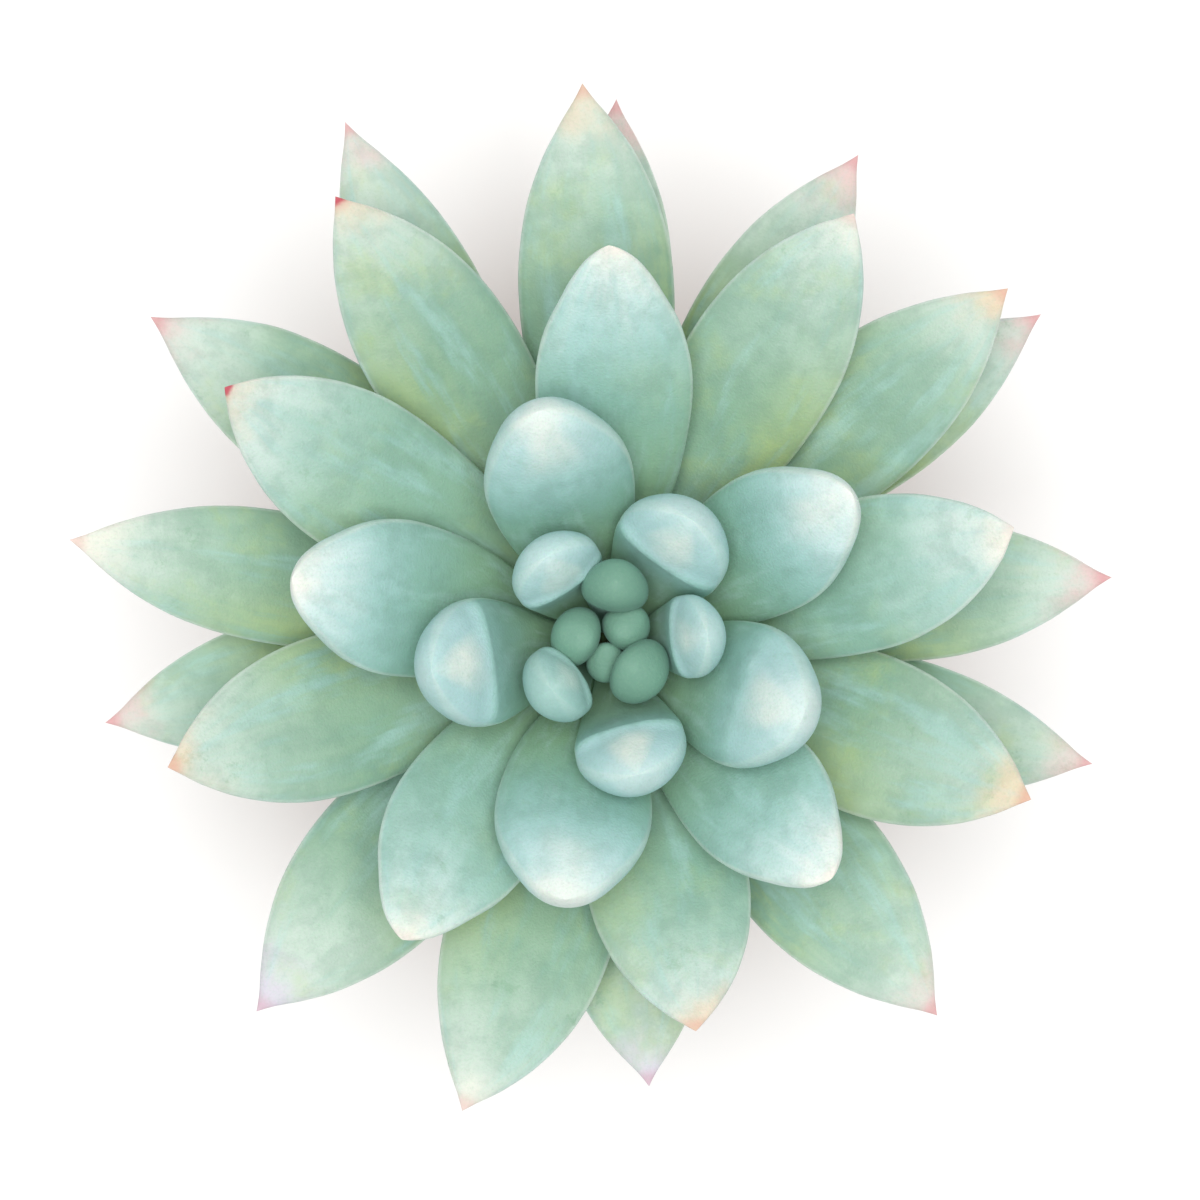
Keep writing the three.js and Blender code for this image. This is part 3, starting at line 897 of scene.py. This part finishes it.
def tip_finish(number, rng):
    """A leaf's tip colour, and how strongly it is stained."""
    if number in RED_POINTS:
        return TIP_PEACH, 0.4
    if number in PEACH_TIPS:
        return TIP_PEACH, 0.55
    if number in LILAC_TIPS:
        return TIP_LILAC, 0.75
    if number in ROSE_TIPS:
        return TIP_ROSE, 0.65
    return TIP_CREAM, rng.uniform(0.5, 0.8)


def clamped(share):
    """The share, kept from 0 to 1."""
    return min(1.0, max(0.0, share))


def of_bud(values, number, otherwise):
    """The value of a leaf in the bud, or the other one for a leaf outside it."""
    return values[number - 1] if number <= len(values) else otherwise


def leaf_habit(number):
    """How old a leaf is, and so how it is creased, tapered, blunted, waxed and pointed."""
    youth = clamped((YOUNG_UNTIL - number) / YOUTH_FADES_OVER)
    old = clamped((number - OLD_FROM) / AGES_OVER)
    wax = clamped((number - WAX_FROM) / WAX_COMES_OVER)
    crease = CREASE_FADING * youth
    if number in CREASED:
        crease = CREASE_DEEP
    elif number in TIGHT_BUD:
        crease = CREASE_OF_BUD
    outer = number in OUTER_YOUNG
    return {
        "youth": youth, "age": number / len(leaf_names), "wax": wax, "crease": crease,
        "apex": LEAF_APEX * crease * (number in CREASED), "mucro": LEAF_MUCRO * old,
        "taper": OUTER_TAPER if outer else 0.0, "blunt": OUTER_BLUNT if outer else YOUNG_BLUNT * (1 - old),
        "plump": of_bud(BUD_PLUMP, number, 1.0), "red_point": float(number in RED_POINTS)}


def close_bud(spine, number):
    """Leans a young leaf in over the growing point, and widens it, so that the bud is tight. A leaf
    outside the bud stays as it is."""
    for point in spine:
        inward = stem_tip - point["centre"]
        inward.z = 0
        point["centre"] += inward * of_bud(BUD_CLOSED, number, 0.0) * point["along"] ** 2
        point["half_width"] *= of_bud(BUD_GIRTH, number, 1.0)


leaf_names = sorted(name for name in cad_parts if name.startswith("leaf_"))
leaf_shape = leaf_tree()
leaf_skin = waxy_leaf()
rng = random.Random(4)
for number, name in enumerate(leaf_names, start=1):
    spine = leaf_spine(name)
    close_bud(spine, number)
    tip_colour, tip_stain = tip_finish(number, rng)
    leaf = grown(name + "_fleshy", spine_mesh(name, spine), leaf_shape, **leaf_habit(number),
                 rows_per_ring=LEAF_ROWS_PER_RING, sides=LEAF_SIDES, crease_at=CREASE_AT,
                 widest=max(point["half_width"] for point in spine), dents=LEAF_DENTS,
                 seed=rng.uniform(0, 3), tip_colour=(*tip_colour, 1.0), tip_stain=tip_stain,
                 surface=leaf_skin)
    settle(leaf, "leaf", name)


# ---- Floor and light ------------------------------------------------------------------------------------
# A plain pale floor, one broad soft light overhead, and even light from all round. They are what the
# plant is shown on and lit by, and no part of it.
FLOOR_SIZE = 6
FLOOR_COLOUR = (0.93, 0.93, 0.925)
FLOOR_SHADE = (0.85, 0.85, 0.85)
FLOOR_MOTTLE = 0.03
SKY = (1.0, 1.0, 1.0)
SKY_STRENGTH = 0.5
LAMP_SIZE = 0.9
LAMP_HEIGHT = 1.6
LAMP_POWER = 23

floor_mesh = bpy.data.meshes.new("floor")
half = FLOOR_SIZE / 2
floor_mesh.from_pydata([(-half, -half, 0), (half, -half, 0), (half, half, 0), (-half, half, 0)], [],
                       [(0, 1, 2, 3)])
floor = bpy.data.objects.new("floor", floor_mesh)
bpy.context.scene.collection.objects.link(floor)
floor_paint, paint_tree, paint_shader, paint_place = new_surface("floor_paint", roughness=0.8)
faint = noise(paint_tree, paint_place, 3, detail=2)
plug(paint_tree, paint_shader.inputs["Base Color"],
     mixed(paint_tree, faint * FLOOR_MOTTLE, FLOOR_COLOUR, FLOOR_SHADE))
floor_mesh.materials.append(floor_paint)

lamp = bpy.data.objects.new("lamp", bpy.data.lights.new("lamp", "AREA"))
lamp.data.size = LAMP_SIZE
lamp.data.energy = LAMP_POWER
lamp.location = (0, 0, LAMP_HEIGHT)
bpy.context.scene.collection.objects.link(lamp)
world = bpy.data.worlds.new("studio")
world.use_nodes = True
sky = world.node_tree.nodes["Background"]
sky.inputs["Color"].default_value = (*SKY, 1)
sky.inputs["Strength"].default_value = SKY_STRENGTH
bpy.context.scene.world = world
bpy.context.scene.view_settings.view_transform = "Standard"
